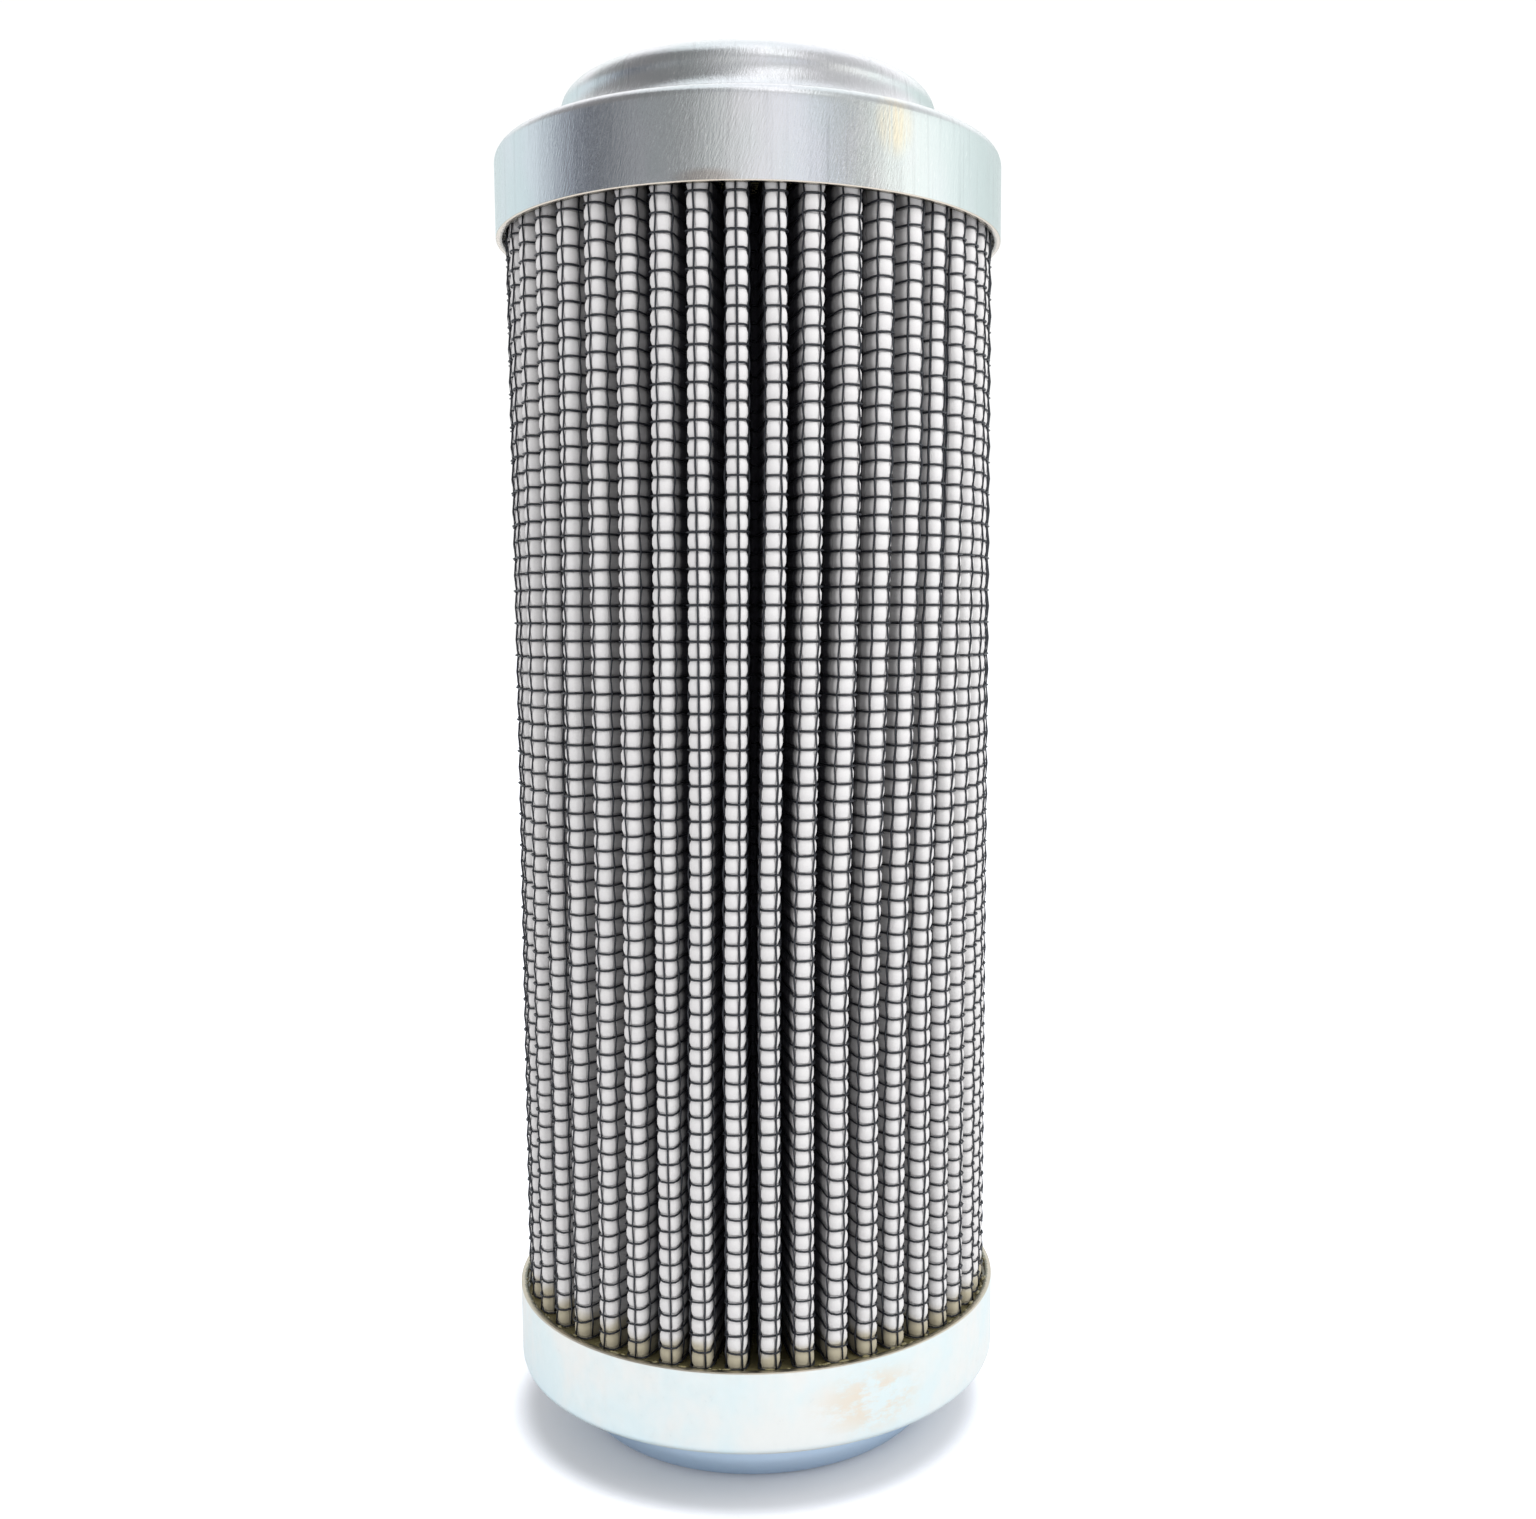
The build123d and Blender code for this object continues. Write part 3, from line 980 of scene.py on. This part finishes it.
class FILTER_OT_end_caps(bpy.types.Operator):
    """Turn the open and the closed end cap from pressed sheet"""

    bl_idname = "filter.end_caps"
    bl_label = "End caps"

    def execute(self, context):
        settings = context.scene.filter_caps
        boss = settings.boss_radius
        closed_cap = [
            (0.0, 0.0),
            (boss, 0.0),
            (boss, BOTTOM_FLANGE),
            (CAP_RADIUS, BOTTOM_FLANGE),
            (CAP_RADIUS, BOTTOM_RIM),
            (SKIRT_BORE, BOTTOM_RIM),
            (SKIRT_BORE, BOTTOM_FLANGE + SHEET),
            (boss - SHEET, BOTTOM_FLANGE + SHEET),
            (boss - SHEET, SHEET),
            (0.0, SHEET),
        ]
        bends = {
            1: settings.boss_edge,
            2: settings.boss_foot,
            3: settings.bottom_corner,
            4: SHEARED_EDGE,
            5: SHEARED_EDGE,
            6: INSIDE_BEND,
            8: settings.boss_edge - SHEET,
        }
        mesh = lathe("bottom_end_cap", closed_cap, bends, settings.steps, closed=False)
        material = satin_zinc_material(settings)
        place_piece("closed_cap", mesh, material, "bottom_end_cap", "bottom_end_cap", creased=True)

        neck_bore = WASHER_RADIUS + settings.neck_clearance
        neck = neck_bore + SHEET
        open_cap = [
            (CAP_RADIUS, TOP_RIM),
            (CAP_RADIUS, TOP_FLANGE),
            (neck, TOP_FLANGE),
            (neck, NECK_TOP),
            (SPIGOT_RADIUS, NECK_TOP),
            (SPIGOT_RADIUS, NECK_TOP - SHEET),
            (neck_bore, NECK_TOP - SHEET),
            (neck_bore, TOP_FLANGE - SHEET),
            (SKIRT_BORE, TOP_FLANGE - SHEET),
            (SKIRT_BORE, TOP_RIM),
        ]
        bends = {
            0: SHEARED_EDGE,
            1: settings.top_corner,
            2: settings.neck_foot,
            3: settings.neck_edge,
            4: SHEARED_EDGE,
            5: SHEARED_EDGE,
            6: settings.neck_edge - SHEET,
            8: INSIDE_BEND,
            9: SHEARED_EDGE,
        }
        mesh = lathe("top_end_cap", open_cap, bends, settings.steps)
        material = drawn_zinc_material(settings)
        place_piece("open_cap", mesh, material, "top_end_cap", "top_end_cap", creased=True)
        return {"FINISHED"}


# Sides of the seal's round section, and its steps round the axis.
SEAL_SIDES = 24
SEAL_STEPS = 96


class FILTER_OT_seal(bpy.types.Operator):
    """Turn the seal ring and finish the washer under it"""

    bl_idname = "filter.seal"
    bl_label = "Seal"

    def execute(self, context):
        low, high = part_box("seal_ring")
        radius = (high[2] - low[2]) / 2
        ring = bmesh.new()
        bmesh.ops.create_circle(ring, segments=SEAL_SIDES, radius=radius)
        bmesh.ops.rotate(ring, verts=ring.verts, cent=(0, 0, 0), matrix=Matrix.Rotation(pi / 2, 3, "X"))
        middle = (WASHER_RADIUS - radius, 0.0, WASHER_TOP + radius)
        bmesh.ops.translate(ring, verts=ring.verts, vec=middle)
        mesh = turned("seal_ring", ring, SEAL_STEPS)
        place_piece("round_seal", mesh, rubber_material(), "seal_ring", "seal_ring")
        finish_node("seal_washer", steel_material())
        return {"FINISHED"}


class FILTER_OT_core(bpy.types.Operator):
    """Finish the perforated core tube"""

    bl_idname = "filter.core"
    bl_label = "Core tube"

    def execute(self, context):
        finish_node("core_tube", steel_material())
        return {"FINISHED"}


class FILTER_OT_media(bpy.types.Operator):
    """Fold the white media and puff it out through the cloth"""

    bl_idname = "filter.media"
    bl_label = "Media"

    def execute(self, context):
        settings = context.scene.filter_pack
        folds = Folds(settings)
        mesh = media_mesh(settings, folds)
        material = media_material(settings, folds.crest_radius)
        place_piece("folded_media", mesh, material, "filter_media", "filter_media")
        return {"FINISHED"}


class FILTER_OT_cloth(bpy.types.Operator):
    """Weave the wire cloth over the folds"""

    bl_idname = "filter.cloth"
    bl_label = "Wire cloth"

    def execute(self, context):
        settings = context.scene.filter_pack
        folds = Folds(settings)
        material = wire_material(settings)
        levels = cell_levels(settings)
        half = len(levels) // 2
        rows = list(enumerate(levels))
        for name, part in (("upper", rows[:half]), ("lower", rows[half:])):
            paths = [level_wire(settings, folds, row, level) for row, level in part]
            mesh = wire_mesh(f"level_wires_{name}", paths, settings.wire_radius, True)
            place_piece(f"level_wires_{name}", mesh, material, "wire_cloth", "wire_cloth")
        paths = upright_wires(settings, folds, levels)
        mesh = wire_mesh("upright_wires", paths, settings.wire_radius, False)
        place_piece("upright_wires", mesh, material, "wire_cloth", "wire_cloth")
        return {"FINISHED"}


# How far the resin lies below the closed cap's rim and dips further in, and its steps round the axis.
RESIN_RECESS = 0.35 * MM
RESIN_DIP = 0.3 * MM
RESIN_STEPS = 192


class FILTER_OT_resin(bpy.types.Operator):
    """Pour the potting resin"""

    bl_idname = "filter.resin"
    bl_label = "Resin"

    def execute(self, context):
        settings = context.scene.filter_pack
        material = resin_material(settings)
        finish_node("top_resin", material)
        brim = BOTTOM_RIM - RESIN_RECESS
        inner_brim = brim - RESIN_DIP
        pool = [
            (CORE_RADIUS, BOTTOM_FLANGE + SHEET),
            (SKIRT_BORE, BOTTOM_FLANGE + SHEET),
            (SKIRT_BORE, brim),
            ((SKIRT_BORE + CORE_RADIUS) / 2, inner_brim),
            (CORE_RADIUS, inner_brim),
        ]
        mesh = lathe("bottom_resin", pool, {}, RESIN_STEPS)
        place_piece("resin_pool", mesh, material, "bottom_resin", "bottom_resin", creased=True)
        place_piece("resin_beads", bead_mesh(), material, "bottom_resin")
        return {"FINISHED"}


class FILTER_OT_stage(bpy.types.Operator):
    """Set the floor, the light and the camera"""

    bl_idname = "filter.stage"
    bl_label = "Stage"

    def execute(self, context):
        settings = context.scene.filter_stage
        make_floor()
        make_sky(settings)
        make_lamp(settings)
        make_camera(settings)
        context.scene.view_settings.view_transform = "Standard"
        return {"FINISHED"}


class FILTER_PT_panel(bpy.types.Panel):
    """Buttons for the pieces of the filter element, and its settings"""

    bl_idname = "FILTER_PT_panel"
    bl_label = "Filter element"
    bl_space_type = "VIEW_3D"
    bl_region_type = "UI"
    bl_category = "Filter"

    def draw(self, context):
        for operator in OPERATORS:
            self.layout.operator(operator.bl_idname)
        for group in (context.scene.filter_caps, context.scene.filter_pack, context.scene.filter_stage):
            box = self.layout.box()
            for name in group.bl_rna.properties.keys():
                if name not in ("rna_type", "name"):
                    box.prop(group, name)


SETTINGS = {"filter_caps": CapSettings, "filter_pack": PackSettings, "filter_stage": StageSettings}
OPERATORS = (
    FILTER_OT_end_caps,
    FILTER_OT_seal,
    FILTER_OT_core,
    FILTER_OT_media,
    FILTER_OT_cloth,
    FILTER_OT_resin,
    FILTER_OT_stage,
)


def register():
    """Registers the settings, the operators and the panel."""
    for name, group in SETTINGS.items():
        bpy.utils.register_class(group)
        setattr(bpy.types.Scene, name, PointerProperty(type=group))
    for operator in (*OPERATORS, FILTER_PT_panel):
        bpy.utils.register_class(operator)


def unregister():
    """Takes everything out again."""
    for operator in reversed((*OPERATORS, FILTER_PT_panel)):
        bpy.utils.unregister_class(operator)
    for name, group in SETTINGS.items():
        delattr(bpy.types.Scene, name)
        bpy.utils.unregister_class(group)


def main():
    """Builds every piece in order."""
    register()
    bpy.ops.filter.end_caps()
    bpy.ops.filter.seal()
    bpy.ops.filter.core()
    bpy.ops.filter.media()
    bpy.ops.filter.cloth()
    bpy.ops.filter.resin()
    bpy.ops.filter.stage()


if __name__ == "__main__":
    main()
